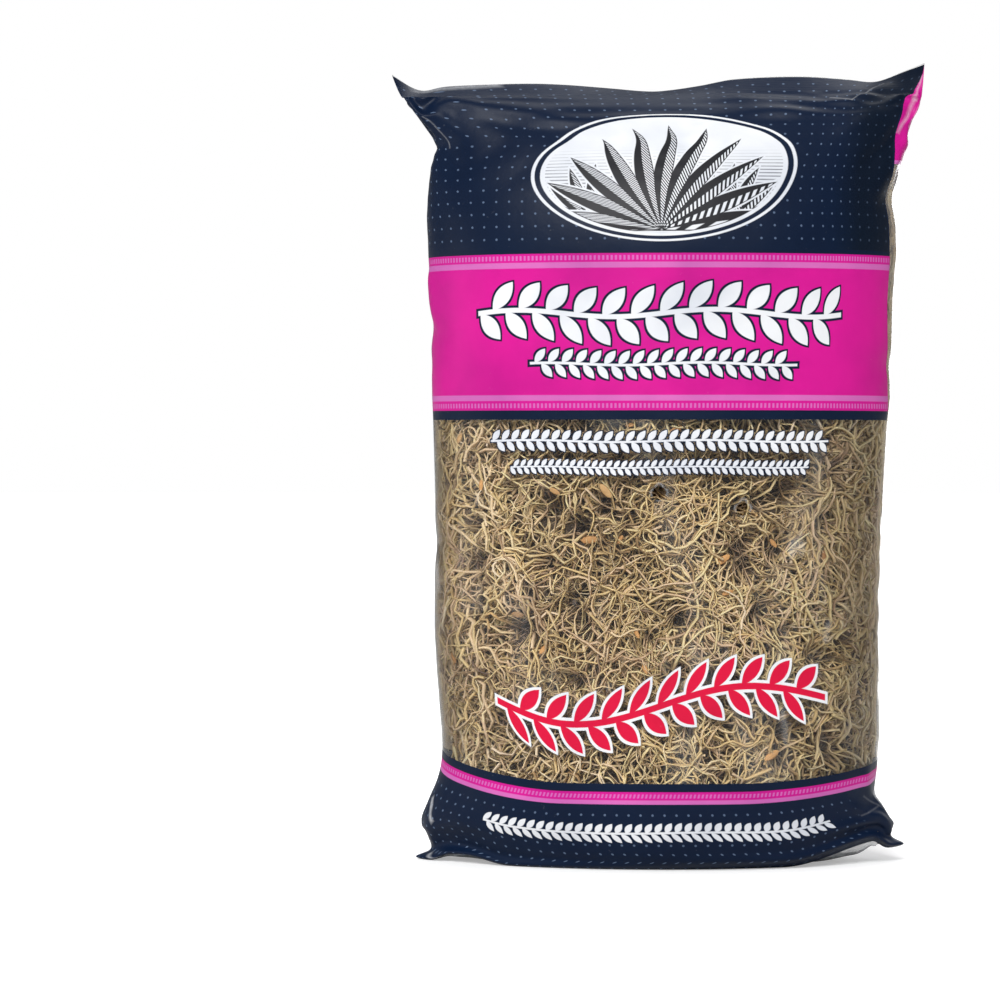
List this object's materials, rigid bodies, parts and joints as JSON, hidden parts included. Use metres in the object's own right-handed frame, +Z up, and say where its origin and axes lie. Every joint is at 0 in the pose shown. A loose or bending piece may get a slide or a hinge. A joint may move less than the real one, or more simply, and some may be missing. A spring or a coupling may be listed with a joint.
{
  "type": "bagged spanish moss bunch",
  "caption": "Bunch of dried Spanish moss packed in a standing pillow bag of printed clear film, sealed across its top and bottom.",
  "frame": {"origin": "on the floor, under the middle of the whole bag's bounding box", "axes": "+Z up towards the top seal, front of the bag faces -Y, +X to the right as seen from the front"},
  "size_m": [0.212, 0.0926, 0.3175],
  "materials": {
    "printed_film": "thin glossy clear film, printed navy and magenta at the top and navy at the foot",
    "dried_moss": "matt dry plant fibre, tan to grey-brown"
  },
  "bodies": {
    "root": {"bag_film": "printed_film", "moss_bunch": "dried_moss"}
  },
  "joints": []
}
